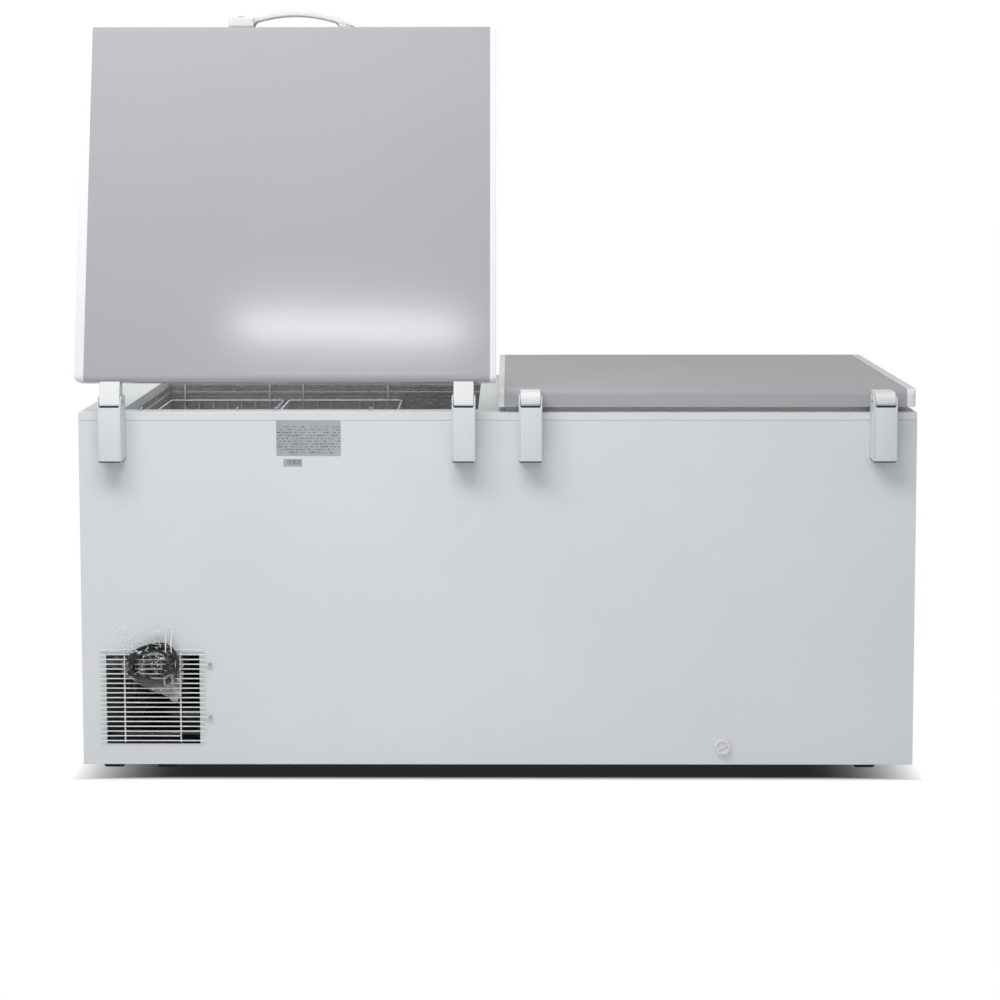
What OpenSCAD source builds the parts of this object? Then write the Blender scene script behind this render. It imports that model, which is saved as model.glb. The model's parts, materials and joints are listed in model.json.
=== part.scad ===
// Chest freezer with two independent top lids, hinged along its service side.
// Origin on the floor under the middle of the cabinet, +Z up, +Y towards the hinge side,
// +X towards the machine compartment.

/* [Cabinet] */
// Overall width of the cabinet along X
cab_w = 1950; // [1800:10:2100]
// Depth of the cabinet along Y, front panel to rear panel
cab_d = 830; // [780:5:900]
// Height of the rim's top face above the floor
rim_top = 845; // [800:5:900]
// Height of the rim moulding
rim_h = 17; // [14:1:24]
// Height of the feet under the bottom panel
foot_h = 12; // [8:1:20]
// Thickness of the insulated front and rear walls, at the opening
wall_y = 66; // [60:1:80]
// Thickness of the insulated end walls, at the opening
wall_x = 92; // [90:1:130]
// Height of the cavity's floor above the ground
floor_z = 95; // [80:1:120]
// Width of the bar between the two openings
mullion_w = 92; // [80:2:120]

/* [Lids] */
// Height of a closed lid's top face above the floor
lid_top = 899; // [890:1:910]
// Height of a lid's front and rear faces
lid_h = 42; // [38:1:46]
// How far a lid stops short of the cabinet's rear face
lid_setback = 10.5; // [10:0.5:12]
// How far a lid runs past the cabinet's front face
lid_overhang = 23; // [15:1:30]
// Angle that the lid over the machine end stands open at
right_open = 77.5; // [60:0.5:80]
// Width of the end caps at the middle of the cabinet
inner_cap = 14; // [10:1:20]
// Width of the end caps at the cabinet's ends
outer_cap = 21; // [16:1:26]

/* [Hinges] */
// Distance of the pin behind the rear panel
pin_back = 33; // [31:1:35]
// Height of the pin above the floor
pin_z = 876; // [875:1:878]
// Width of a hinge housing
hinge_w = 54; // [50:1:60]
// How far a housing stands out from the rear panel
hinge_d = 60; // [60:1:64]
// Distance of the inner hinges from the middle of the cabinet
hinge_in = 77; // [70:1:90]
// Distance of the outer hinges from the middle of the cabinet
hinge_out = 892; // [870:1:900]

/* [Machine compartment] */
// Distance of the compartment's inner wall from the middle of the cabinet
bay_x = 655; // [640:5:670]
// Height of the compartment's roof above the floor
bay_top = 300; // [295:5:310]
// Width of the vent opening in the rear panel
vent_w = 219; // [200:1:230]
// Height of the vent opening in the rear panel
vent_h = 214; // [200:1:220]
// Number of horizontal wires in the grille
wire_n = 20; // [16:1:20]

/* [Baskets] */
// Width of one basket along X
basket_w = 306; // [280:2:330]
// Depth of a basket's bowl
basket_h = 170; // [120:10:220]
// Distance between neighbouring wires
basket_pitch = 38; // [30:2:50]

/* [Hidden] */
$fn = 64;
e = 0.3;
half_w = cab_w / 2;
half_d = cab_d / 2;
base_z = foot_h;
shell_t = 1;
panel_top = rim_top - rim_h;
open_x = half_w - wall_x;
open_y = half_d - wall_y;
liner_t = 0.8;
step_wall = 59;
step_x = bay_x - step_wall;
step_z = bay_top + step_wall;
mullion_z = 60;

lid_low = lid_top - lid_h;
lid_back = half_d - lid_setback;
lid_front = -half_d - lid_overhang;
lid_corner = 14;
lid_in = 2.5;
lid_out = half_w - 1;
skin_in = lid_in + inner_cap;
skin_out = lid_out - outer_cap;
lid_mid = (lid_in + lid_out) / 2;
skin_t = 0.8;
pin_y = half_d + pin_back;
pin_r = 4;
pin_fit = 0.05;
knuckle_r = 25;
ear_t = 3;
hinge_low = 738;
hinge_high = 889;
leaf_w = hinge_w - 2 * ear_t - 2;
hinge_xs = [-hinge_out, -hinge_in, hinge_in, hinge_out];

vent_x = 699.5;
vent_z = 61.5;
wire_t = 2.6;
wire_pitch = 11.4;
grille_end = 687;
grille_far = 932;
wire_low = 70;
wire_top = wire_low + wire_pitch * (wire_n - 1);
wire_y = half_d + 4.6;
wire_bars = [744, 875];
bar_t = 2.6;
eyelet_x = 674;
eyelet_wires = [5, 16];
stop_wire = 1;

comp_x = 800;
comp_y = -20;
comp_r = 82;
comp_low = 46;
comp_high = 236;
drain_x = -528;
drain_z = 57;
drain_in_y = 250;
drain_r = 12;
drain_bore = 9;
drain_flange_r = 19;
cap_r = 17.5;
cap_dish_r = 13.5;

cord_r = 3.5;
exit_x = 792;
exit_z = 199;
clamp_y = 366;
clamp_t = 16;
coil_x = 807;
coil_z = 253;
coil_y = half_d + 8;
coil_t = 20;
coil_out = 45.5;
coil_in = 24.5;
coil_corners = [[19.5, -1], [-19.5, 11.5], [-19.5, -12]];
lead_pts = [[792, 366, 199], [792, 375, 199], [792, 384, 199], [792, 394, 199], [792, 404, 199],
            [792.4, 409, 199.1], [793.6, 414, 199.5], [795.3, 418, 200], [797.1, 421, 200.5],
            [798.3, 422.6, 200.9]];
inner_pts = [[800, 103.2, 205], [800, 125, 206], [799, 180, 206], [796, 260, 202], [792, 330, 199],
             [792, 366, 199]];
plug_x = 767;
plug_y = coil_y + coil_t;
plug_half = 15;
plug_t = 16;
plug_low = 230;
plug_top = 258;
plug_pin = 19;

basket_top = 787;
basket_xs = [257, 573];
basket_t = 4;
basket_y = open_y - 14;
basket_hook = 5;

// Points of an arc of n steps, from angle a0 to a1
function arc(cx, cy, r, a0, a1, n) =
    [for (i = [0:n]) let (a = a0 + (a1 - a0) * i / n) [cx + r * cos(a), cy + r * sin(a)]];

// A box from one corner to the opposite one
module box(a, b) translate(a) cube(b - a);

// A cylinder along Y from y0 to y1
module rod_y(x, z, r, y0, y1) translate([x, y0, z]) rotate([-90, 0, 0]) cylinder(h = y1 - y0, r = r);

// A cylinder along X from x0 to x1
module rod_x(y, z, r, x0, x1) translate([x0, y, z]) rotate([0, 90, 0]) cylinder(h = x1 - x0, r = r);

// Round tube along a list of points: rings stand square to the path
function unit(v) = v / norm(v);
function heading(p, i) = unit(p[min(i + 1, len(p) - 1)] - p[max(i - 1, 0)]);
function ring_pts(c, t, r, n, up) =
    let (s = unit(cross(t, up)), w = cross(s, t))
    [for (k = [0:n - 1]) c + r * cos(360 * k / n) * s + r * sin(360 * k / n) * w];
module sweep(p, r, n = 8, up = [0, 0, 1]) {
    m = len(p);
    pts = [for (i = [0:m - 1]) each ring_pts(p[i], heading(p, i), r, n, up)];
    sides = [for (i = [0:m - 2]) for (k = [0:n - 1]) let (a = i * n + k, b = i * n + (k + 1) % n)
        each [[a, a + n, b + n], [a, b + n, b]]];
    ends = [[for (k = [0:n - 1]) k], [for (k = [n - 1:-1:0]) (m - 1) * n + k]];
    polyhedron(points = pts, faces = concat(sides, ends), convexity = 10);
}

// Catmull-Rom refinement of a route, steps points per span
function spline_at(a, b, c, d, t) =
    0.5 * ((2 * b) + (c - a) * t + (2 * a - 5 * b + 4 * c - d) * t * t + (3 * b - a - 3 * c + d) * t * t * t);
function smooth(p, steps) =
    [for (i = [0:len(p) - 2]) for (j = [0:steps - 1])
        spline_at(p[max(i - 1, 0)], p[i], p[i + 1], p[min(i + 2, len(p) - 1)], j / steps), p[len(p) - 1]];

/* ---- Cabinet shell ---- */

module front_panel() color("white") difference() {
    box([-half_w, -half_d, base_z], [half_w, -half_d + shell_t, panel_top]);
    box([710, -half_d - 1, 80], [890, -half_d + 2, 260]);
}

module rear_panel() color("white") difference() {
    box([-half_w, half_d - shell_t, base_z], [half_w, half_d, panel_top]);
    box([vent_x, half_d - 2, vent_z], [vent_x + vent_w, half_d + 1, vent_z + vent_h]);
    rod_y(drain_x, drain_z, drain_r + e, half_d - 2, half_d + 1);
}

module side_panel(s) color("white")
    box([s > 0 ? half_w - shell_t : -half_w, -half_d + shell_t, base_z],
        [s > 0 ? half_w : -half_w + shell_t, half_d - shell_t, panel_top]);
module left_side_panel() side_panel(-1);
module right_side_panel() side_panel(1);

module bottom_panel() color("dimgray")
    box([-half_w + shell_t, -half_d + shell_t, base_z],
        [half_w - shell_t, half_d - shell_t, base_z + shell_t]);

/* ---- Insulation, liner and pipework in the walls ---- */

foam_x = half_w - shell_t;
foam_y = half_d - shell_t;
foam_z = base_z + shell_t;
evap_t = 8;
evap_zs = [420:80:740];
cond_t = 5;
cond_zs = [380:80:700];

// A rectangular ring of pipe round the cavity, g is the clearance of its groove
module pipe_ring(hx, hy, t, z, g = 0) difference() {
    box([-hx - t - g, -hy - t - g, z - g], [hx + t + g, hy + t + g, z + t + g]);
    box([-hx + g, -hy + g, z - 1], [hx - g, hy - g, z + t + 1]);
}
module evaporator(g = 0) {
    for (z = evap_zs) pipe_ring(open_x + liner_t, open_y + liner_t, evap_t, z, g);
    for (i = [0:3])
        let (s = i % 2 == 0 ? 1 : -1, x = s * 400, z = evap_zs[0] + 80 * i)
        box([x - evap_t / 2 - g, open_y + liner_t - g, z],
            [x + evap_t / 2 + g, open_y + liner_t + evap_t + g, z + 84]);
}
module condenser(g = 0) {
    for (z = cond_zs) pipe_ring(foam_x - cond_t, foam_y - cond_t, cond_t, z, g);
    for (i = [0:3])
        let (s = i % 2 == 0 ? 1 : -1, x = s * 300, z = cond_zs[0] + 80 * i)
        box([x - cond_t / 2 - g, -foam_y - g, z], [x + cond_t / 2 + g, -foam_y + cond_t + g, z + 83]);
}
module evaporator_coil() color("peru") evaporator();
module condenser_coil() color("peru") condenser();

// Slabs of foam, each one a solid of its own
module cabinet_foam() color("khaki") difference() {
    union() {
        box([-foam_x, -foam_y, foam_z], [bay_x, foam_y, floor_z - liner_t]);
        for (s = [-1, 1]) {
            y0 = s > 0 ? open_y + liner_t : -foam_y;
            y1 = s > 0 ? foam_y : -open_y - liner_t;
            box([-foam_x, y0, floor_z - liner_t + e], [bay_x, y1, panel_top]);
            box([bay_x + e, y0, bay_top + liner_t], [foam_x, y1, panel_top]);
        }
        inner_y = open_y + liner_t - e;
        box([-foam_x, -inner_y, floor_z - liner_t + e], [-open_x - liner_t, inner_y, panel_top]);
        box([open_x + liner_t, -inner_y, step_z], [foam_x, inner_y, panel_top]);
        box([bay_x + e, -inner_y, bay_top + liner_t], [foam_x, inner_y, step_z - liner_t]);
        box([step_x + liner_t, -inner_y, floor_z - liner_t + e], [bay_x, inner_y, step_z - liner_t]);
    }
    evaporator(0.1);
    condenser(0.1);
    rod_y(drain_x, drain_z, drain_r + e, drain_in_y - drain_r - e, half_d);
    translate([drain_x, drain_in_y, drain_z]) cylinder(h = 60, r = drain_r + e);
}

// Folded aluminium tank with the step over the machine compartment
module liner_shape(t) {
    box([-open_x - t, -open_y - t, floor_z - t], [step_x + t, open_y + t, panel_top]);
    box([step_x, -open_y - t, step_z - t], [open_x + t, open_y + t, panel_top]);
}
module inner_liner() color("silver") difference() {
    liner_shape(liner_t);
    union() {
        box([-open_x, -open_y, floor_z], [step_x, open_y, panel_top + 1]);
        box([step_x - 1, -open_y, step_z], [open_x, open_y, panel_top + 1]);
    }
    translate([drain_x, drain_in_y, floor_z - 5]) cylinder(h = 10, r = drain_bore + e);
}

/* ---- Rim mouldings round the openings ---- */

module front_rim() color("ivory") box([-half_w, -half_d, panel_top], [half_w, -open_y, rim_top]);
module rear_rim() color("ivory") box([-half_w, open_y, panel_top], [half_w, half_d, rim_top]);
module end_rims() color("ivory") for (s = [-1, 1])
    box([s > 0 ? open_x : -half_w, -open_y, panel_top], [s > 0 ? half_w : -open_x, open_y, rim_top]);
module centre_mullion() color("ivory")
    box([-mullion_w / 2, -open_y, rim_top - mullion_z], [mullion_w / 2, open_y, rim_top]);

/* ---- Machine compartment ---- */

module bay_lining() color("silver") {
    box([bay_x + e, -foam_y, foam_z], [bay_x + e + liner_t, foam_y, bay_top - e]);
    box([bay_x + e, -foam_y, bay_top], [foam_x, foam_y, bay_top + liner_t]);
}

module compressor() color("black") {
    translate([comp_x, comp_y, 0]) rotate_extrude()
        polygon(concat([[0, comp_low]], arc(comp_r - 30, comp_low + 30, 30, -90, 0, 6),
            [[comp_r + 5, 140], [comp_r + 5, 146]],
            arc(comp_r - 45, comp_high - 45, 45, 0, 90, 8), [[0, comp_high]]));
    for (sx = [-1, 1])
        box([comp_x + sx * 70 - 22, comp_y - 105, 38], [comp_x + sx * 70 + 22, comp_y + 105, 41]);
    box([comp_x - 60, comp_y - 50, 38], [comp_x + 60, comp_y + 50, 50]);
}
grommet_r = 11;
grommet_pts = [for (sx = [-1, 1]) for (sy = [-1, 1]) [comp_x + sx * 70, comp_y + sy * 92]];
module compressor_base() color("dimgray") difference() {
    box([bay_x + 15, -180, foam_z], [half_w - 30, 150, foam_z + 3]);
    for (p = grommet_pts) translate([p[0], p[1], foam_z - 1]) cylinder(h = 6, r = 3.2);
}
module compressor_grommets() color("black") for (p = grommet_pts)
    translate([p[0], p[1], foam_z + 3]) difference() {
        cylinder(h = 38 - foam_z - 3, r = grommet_r);
        translate([0, 0, -1]) cylinder(h = 30, r = 3.2);
    }
module relay_cover() color("darkslategray") difference() {
    box([comp_x - 32, comp_y + comp_r - 18, 150], [comp_x + 32, comp_y + comp_r + 41, 218]);
    translate([comp_x, comp_y, 60]) cylinder(h = 180, r = comp_r + 6);
}

drier_x = 905;
drier_y = 120;
module filter_drier() color("peru") translate([drier_x, drier_y, 0]) rotate_extrude()
    polygon([[0, 90], [3, 90], [3, 100], [10, 110], [10, 190], [3, 200], [3, 210], [0, 210]]);
suction_pts = [[720, -20, 190], [708, -18, 192], [694, -6, 200], [684, 16, 212], [678, 44, 226],
               [676, 70, 244], [676, 84, 268], [676, 88, 299]];
discharge_pts = [[877, -45, 180], [890, -45, 180], [905, -30, 175], [910, 0, 150], [908, 60, 110],
                 [905, 105, 84], [905, 118, 82], [905, 120, 90]];
module suction_line() color("peru") sweep(smooth(suction_pts, 3), 4, 8, [0, 1, 0.3]);
module discharge_line() color("peru") sweep(smooth(discharge_pts, 3), 2.5, 8, [0.2, 0.1, 1]);

// Horizontal wires on two upright ones, two of them run out to the screw eyelets
module rear_grille() color("white") {
    for (i = [0:wire_n - 1]) let (z = wire_low + wire_pitch * i) {
        long = len(search(i, eyelet_wires)) > 0;
        x0 = i == stop_wire ? wire_bars[0] - 1 : long ? eyelet_x + 5 : grille_end;
        box([x0, wire_y, z - wire_t / 2], [grille_far, wire_y + wire_t, z + wire_t / 2]);
    }
    for (x = wire_bars)
        box([x - bar_t / 2, wire_y - bar_t + e, wire_low - 4], [x + bar_t / 2, wire_y + e, wire_top + 4]);
    for (i = eyelet_wires) let (z = wire_low + wire_pitch * i) difference() {
        rod_y(eyelet_x, z, 6, half_d, wire_y + wire_t - e);
        rod_y(eyelet_x, z, 2.3, half_d - 1, wire_y + wire_t + 1);
    }
}
module grille_screws() color("silver") for (i = eyelet_wires) let (z = wire_low + wire_pitch * i) {
    rod_y(eyelet_x, z, 4.6, wire_y + wire_t - e, wire_y + wire_t + 2.2);
    rod_y(eyelet_x, z, 2, half_d, wire_y + wire_t);
}

/* ---- Controls on the front ---- */

panel_y = -half_d - 4;
knob_x = 790;
knob_z = 235;
module control_panel() color("white") difference() {
    box([690, panel_y, 60], [935, -half_d, 285]);
    for (i = [0:8]) box([715, panel_y - 1, 82 + 13 * i], [885, -half_d + 1, 89 + 13 * i]);
    rod_y(knob_x, knob_z, 4.1, panel_y - 1, -half_d + 1);
    for (i = [0:2]) rod_y(845 + 22 * i, knob_z, 4.1, panel_y - 1, -half_d + 1);
}
module thermostat_knob() color("lightgray") {
    rod_y(knob_x, knob_z, 4.05, panel_y - 1, -half_d - 0.5);
    rod_y(knob_x, knob_z, 17, panel_y - 14, panel_y - 0.4);
    box([knob_x - 2, panel_y - 18, knob_z - 15], [knob_x + 2, panel_y - 13, knob_z + 15]);
}
module indicator_lamps() color("orange")
    for (i = [0:2]) rod_y(845 + 22 * i, knob_z, 4, panel_y - 1.5, -half_d - 0.2);

/* ---- Drain ---- */

module drain_tube() color("whitesmoke") difference() {
    union() {
        rod_y(drain_x, drain_z, drain_r, drain_in_y, half_d);
        rod_y(drain_x, drain_z, drain_flange_r, half_d, half_d + 3);
        translate([drain_x, drain_in_y, drain_z]) cylinder(h = floor_z - liner_t - drain_z, r = drain_r);
        translate([drain_x, drain_in_y, drain_z]) sphere(r = drain_r);
    }
    rod_y(drain_x, drain_z, drain_bore, drain_in_y, half_d + 5);
    translate([drain_x, drain_in_y, drain_z - 4]) cylinder(h = 60, r = drain_bore - 0.5);
}
module drain_cap() color("white") {
    rod_y(drain_x, drain_z, drain_bore - 0.06, half_d - 10, half_d + 4);
    difference() {
        rod_y(drain_x, drain_z, cap_r, half_d + 3.3, half_d + 12);
        rod_y(drain_x, drain_z, cap_dish_r, half_d + 7.5, half_d + 13);
    }
    translate([drain_x, 0, drain_z]) rotate([0, 25, 0])
        box([-cap_dish_r - 1, half_d + 7, -2.2], [cap_dish_r + 1, half_d + 11.5, 2.2]);
}
module drain_plug() color("dimgray") {
    translate([drain_x, drain_in_y, floor_z - 16]) cylinder(h = 18, r = drain_bore - 1);
    translate([drain_x, drain_in_y, floor_z + e]) cylinder(h = 5, r = 15);
    translate([drain_x, drain_in_y, floor_z + 5]) cylinder(h = 12, r = 4);
}

/* ---- Feet and labels ---- */

foot_xs = [-865, 780, 906];
foot_half = 24.5;
foot_cut = 4;
foot_y = half_d - 20 - foot_half;
module feet() color("black") for (x = foot_xs) for (s = [-1, 1])
    translate([x, s * foot_y + foot_half, 0]) rotate([90, 0, 0]) linear_extrude(2 * foot_half)
        polygon([[-foot_half, foot_h], [-foot_half, foot_cut], [foot_cut - foot_half, 0],
                 [foot_half - foot_cut, 0], [foot_half, foot_cut], [foot_half, foot_h]]);

module labels() color("gainsboro") {
    box([364, half_d, 744], [514, half_d + e, panel_top]);
    box([455, half_d, 719], [498, half_d + e, 737]);
}

/* ---- Hinges ---- */

module hinge_housings() color("white") for (x = hinge_xs) {
    x0 = x - hinge_w / 2;
    x1 = x + hinge_w / 2;
    outer_y = half_d + hinge_d;
    difference() {
        union() {
            box([x0, half_d, hinge_low], [x0 + ear_t, outer_y, hinge_high]);
            box([x1 - ear_t, half_d, hinge_low], [x1, outer_y, hinge_high]);
            box([x0, half_d, hinge_low], [x1, outer_y, hinge_low + 3]);
            box([x0, half_d, hinge_low], [x1, half_d + 2, panel_top]);
            box([x0, outer_y - 1.6, hinge_low], [x1, outer_y, 866]);
        }
        rod_x(pin_y, pin_z, pin_r + pin_fit, x0 - 1, x1 + 1);
    }
}
module hinge_pins() color("silver") for (x = hinge_xs)
    rod_x(pin_y, pin_z, pin_r, x - hinge_w / 2, x + hinge_w / 2);

spring_turns = 6;
spring_steps = 8;
spring_low = hinge_low + 5;
spring_high = 845;
module hinge_springs() color("gray") for (x = hinge_xs)
    sweep([for (i = [0:spring_turns * spring_steps]) let (a = 360 * i / spring_steps)
        [x + 11 * cos(a), half_d + 30 + 11 * sin(a),
         spring_low + (spring_high - spring_low) * i / (spring_turns * spring_steps)]], 1.5, 6);
module hinge_screws() color("silver") for (x = hinge_xs) for (z = [760, 800]) for (s = [-1, 1])
    rod_y(x + s * 17, z, 4, half_d + 2, half_d + 4.5);

/* ---- Lids, drawn closed on the side of s, then turned about the pin ---- */

module turned(angle)
    translate([0, pin_y, pin_z]) rotate([-angle, 0, 0]) translate([0, -pin_y, -pin_z]) children();
module place_lid(s) turned(s > 0 ? right_open : 0) children();

// Section of the lid in Y and Z, inset by g
function lid_section(g) =
    let (r = lid_corner - g, y0 = lid_front + g, y1 = lid_back - g, z1 = lid_top - g)
    concat([[y0, lid_low - (g > 0 ? 1 : 0)]], arc(y0 + r, z1 - r, r, 180, 90, 5),
        arc(y1 - r, z1 - r, r, 90, 0, 5), [[y1, lid_low - (g > 0 ? 1 : 0)]]);
module lid_bar(x0, x1, g)
    translate([x0, 0, 0]) rotate([90, 0, 90]) linear_extrude(x1 - x0) polygon(lid_section(g));
module span_x(s, a, b) translate([s > 0 ? 0 : -b - a, 0, 0]) children();

module lid_skin(s) color("silver") place_lid(s) span_x(s, skin_in, skin_out) difference() {
    lid_bar(skin_in, skin_out, 0);
    lid_bar(skin_in - 1, skin_out + 1, skin_t);
}
module lid_foam(s) color("khaki") place_lid(s) span_x(s, skin_in, skin_out) intersection() {
    lid_bar(skin_in + e, skin_out - e, skin_t + 0.1);
    box([0, lid_front, lid_low + 1.5], [half_w, lid_back, lid_top]);
}
// Cap corners are rounded in plan towards the end of the lid
module cap_plan(x0, x1, r) translate([0, 0, lid_low]) linear_extrude(lid_h)
    polygon(concat([[x0, lid_front]], arc(x1 - r, lid_front + r, r, -90, 0, 5),
        arc(x1 - r, lid_back - r, r, 0, 90, 5), [[x0, lid_back]]));
module lid_end_caps(s) color("white") place_lid(s) scale([s, 1, 1]) {
    intersection() {
        lid_bar(skin_out, lid_out, 0);
        cap_plan(skin_out, lid_out, 10);
    }
    lid_bar(lid_in, skin_in, 0);
}
seal_in = 20;
seal_out = half_w - 70;
seal_y = open_y + 36;
seal_w = 16;
rib_h = 7;
module lid_inner_panel(s) color("ivory") place_lid(s) span_x(s, skin_in, skin_out) {
    box([skin_in + e, lid_front + 1, lid_low], [skin_out - e, lid_back - 1, lid_low + 1.4]);
    for (i = [0:4]) let (x = 130 + 172 * i)
        box([x, -open_y + 20, lid_low - rib_h], [x + 40, open_y - 20, lid_low + 0.5]);
}
module lid_gasket(s) color("lightgray") place_lid(s) scale([s, 1, 1]) difference() {
    box([seal_in, -seal_y, rim_top + 0.4], [seal_out, seal_y, lid_low]);
    box([seal_in + seal_w, -seal_y + seal_w, rim_top - 1], [seal_out - seal_w, seal_y - seal_w, lid_low + 1]);
}

// Handle: a bowed bar that stands on two feet, the one at +X wide enough for the lock
bow_reach = 43;
bow_mid = -11;
bow_half = 102;
bow_t = 17;
foot_end = -153;
lock_foot = [86, 147];
lock_reach = 28;
lock_u = 117;
lock_z = 873;
bar_low = 864;
bar_high = 882;
handle_y = lid_front - lock_reach;
// Reach of a bow that is rise high at its middle and base high at its ends
function bow(u, base, rise) = base + rise * (1 - pow((u - bow_mid) / bow_half, 2));
module bow_outline() polygon(concat([[foot_end, 0], [foot_end, -4]],
    [for (i = [0:16]) let (u = bow_mid + bow_half * (i / 8 - 1)) [u, -bow(u, bow_reach - bow_t, bow_t)]],
    [[lock_foot[0] + 12, 0], [lock_foot[0], 0]],
    [for (i = [12:-1:0]) let (u = -113 + (lock_foot[0] + 113) * i / 12) [u, -bow(u, 12, 18)]],
    [[-113, 0]]));
module lid_handle(s) color("white") place_lid(s) translate([s * lid_mid, lid_front, 0]) difference() {
    union() {
        translate([0, 0, bar_low]) linear_extrude(bar_high - bar_low) bow_outline();
        box([lock_foot[0], -lock_reach, bar_low - 6], [lock_foot[1], 0, bar_high + 5]);
    }
    rod_y(lock_u, lock_z, 9.05, -lock_reach - 20, -lock_reach + 20);
}
module lock_cylinder(s) color("silver") place_lid(s) translate([s * lid_mid, 0, 0]) difference() {
    rod_y(lock_u, lock_z, 9, handle_y - 1, handle_y + 19.7);
    box([lock_u - 0.7, handle_y - 3, lock_z - 4.5], [lock_u + 0.7, handle_y + 5, lock_z + 4.5]);
}

// Leaf: an arm from the lid's rear face to a knuckle round the pin
module hinge_leaves(s) color("white") place_lid(s) for (x = [hinge_in, hinge_out])
    translate([s * x, 0, 0]) difference() {
        union() {
            box([-leaf_w / 2, lid_back, lid_low + 3], [leaf_w / 2, pin_y, lid_top - 1]);
            rod_x(pin_y, pin_z, knuckle_r - 2, -leaf_w / 2, leaf_w / 2);
        }
        rod_x(pin_y, pin_z, pin_r + pin_fit, -leaf_w, leaf_w);
    }

module left_lid_skin() lid_skin(-1);
module left_lid_end_caps() lid_end_caps(-1);
module left_lid_foam() lid_foam(-1);
module left_lid_inner_panel() lid_inner_panel(-1);
module left_lid_gasket() lid_gasket(-1);
module left_lid_handle() lid_handle(-1);
module left_lock_cylinder() lock_cylinder(-1);
module left_hinge_leaves() hinge_leaves(-1);
module right_lid_skin() lid_skin(1);
module right_lid_end_caps() lid_end_caps(1);
module right_lid_foam() lid_foam(1);
module right_lid_inner_panel() lid_inner_panel(1);
module right_lid_gasket() lid_gasket(1);
module right_lid_handle() lid_handle(1);
module right_lock_cylinder() lock_cylinder(1);
module right_hinge_leaves() hinge_leaves(1);

/* ---- Baskets hung across the opening over the machine end ---- */

// A flat grid of square wires, nu by nv spaces over lu by lv, wire t
module grid(lu, lv, nu, nv, t) {
    for (i = [0:nu]) translate([(lu - t) * i / nu, 0, 0]) cube([t, lv, t]);
    for (j = [0:nv]) translate([0, (lv - t) * j / nv, 0]) cube([lu, t, t]);
}

// Floor, four walls and the hooks over the rims, each a solid of its own
module basket(x0) color("white") {
    t = basket_t;
    low = basket_top - basket_h;
    nx = round(basket_w / basket_pitch);
    ny = round(2 * basket_y / basket_pitch);
    nz = 3;
    wall_low = low + t + e;
    wall_h = basket_top - wall_low;
    translate([x0, -basket_y, low]) grid(basket_w, 2 * basket_y, nx, ny, t);
    for (s = [-1, 1])
        translate([x0, s > 0 ? basket_y : -basket_y + t, wall_low]) rotate([90, 0, 0])
            grid(basket_w, wall_h, nx, nz, t);
    for (x = [x0, x0 + basket_w - t])
        translate([x, -basket_y + t + e, wall_low]) rotate([90, 0, 90])
            grid(2 * (basket_y - t - e), wall_h, ny, nz, t);
    for (s = [-1, 1]) for (x = [x0 + basket_w / nx, x0 + basket_w - t - basket_w / nx]) {
        y_in = s > 0 ? basket_y - t : -basket_y;
        y_tip = s > 0 ? open_y + 18 : -open_y - 18;
        box([x, y_in, basket_top + e], [x + t, y_in + t, rim_top + 1 - e]);
        box([x, min(y_in, y_tip), rim_top + 1], [x + t, max(y_in + t, y_tip), rim_top + basket_hook]);
    }
}
module inner_basket() basket(basket_xs[0]);
module outer_basket() basket(basket_xs[1]);

/* ---- Power cord ---- */

module cord_clamp() color("black") difference() {
    union() {
        box([exit_x - 9, clamp_y, exit_z - 9], [exit_x + 9, clamp_y + clamp_t, exit_z + 9]);
        box([exit_x - 6, clamp_y + 4, exit_z + 7], [exit_x + 6, clamp_y + clamp_t - 4, bay_top]);
    }
    rod_y(exit_x, exit_z, cord_r, clamp_y - 1, clamp_y + clamp_t + 1);
}
module compressor_lead() color("black") sweep(smooth(inner_pts, 4), cord_r, 10, [1, 0, 0]);
module power_cord_lead() color("black") sweep(smooth(lead_pts, 4), cord_r, 10);

// Outline of the winding: arcs of radius r about three corners, joined by straight runs
function run_angle(i) =
    let (a = coil_corners[i], b = coil_corners[(i + 1) % 3]) atan2(a[0] - b[0], b[1] - a[1]);
function corner_arc(i, r) =
    let (c = coil_corners[i], a0 = run_angle((i + 2) % 3), a1 = run_angle(i))
    arc(c[0], c[1], r, a0, a0 + (a1 - a0 + 360) % 360, 10);
function coil_outline(r) = [for (i = [0:2]) each corner_arc(i, r)];
module power_cord_coil() color("black") translate([coil_x, coil_y + coil_t, coil_z]) rotate([90, 0, 0])
    linear_extrude(coil_t) difference() {
        polygon(coil_outline(coil_out));
        polygon(coil_outline(coil_in));
    }
module power_plug() color("black") {
    box([plug_x - plug_half, plug_y, plug_low], [plug_x + plug_half, plug_y + plug_t, plug_top]);
    for (s = [-1, 1])
        translate([plug_x + s * 9.5, plug_y + plug_t / 2, plug_low - plug_pin])
            cylinder(h = plug_pin + 1, r = 2);
}

front_panel();
rear_panel();
left_side_panel();
right_side_panel();
bottom_panel();
cabinet_foam();
inner_liner();
front_rim();
rear_rim();
end_rims();
centre_mullion();
evaporator_coil();
condenser_coil();
compressor();
compressor_base();
compressor_grommets();
relay_cover();
filter_drier();
suction_line();
discharge_line();
bay_lining();
rear_grille();
grille_screws();
control_panel();
thermostat_knob();
indicator_lamps();
drain_tube();
drain_cap();
drain_plug();
feet();
labels();
hinge_housings();
hinge_pins();
hinge_springs();
hinge_screws();
left_lid_skin();
left_lid_end_caps();
left_lid_foam();
left_lid_inner_panel();
left_lid_gasket();
left_lid_handle();
left_lock_cylinder();
left_hinge_leaves();
right_lid_skin();
right_lid_end_caps();
right_lid_foam();
right_lid_inner_panel();
right_lid_gasket();
right_lid_handle();
right_lock_cylinder();
right_hinge_leaves();
outer_basket();
inner_basket();
cord_clamp();
compressor_lead();
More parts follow.
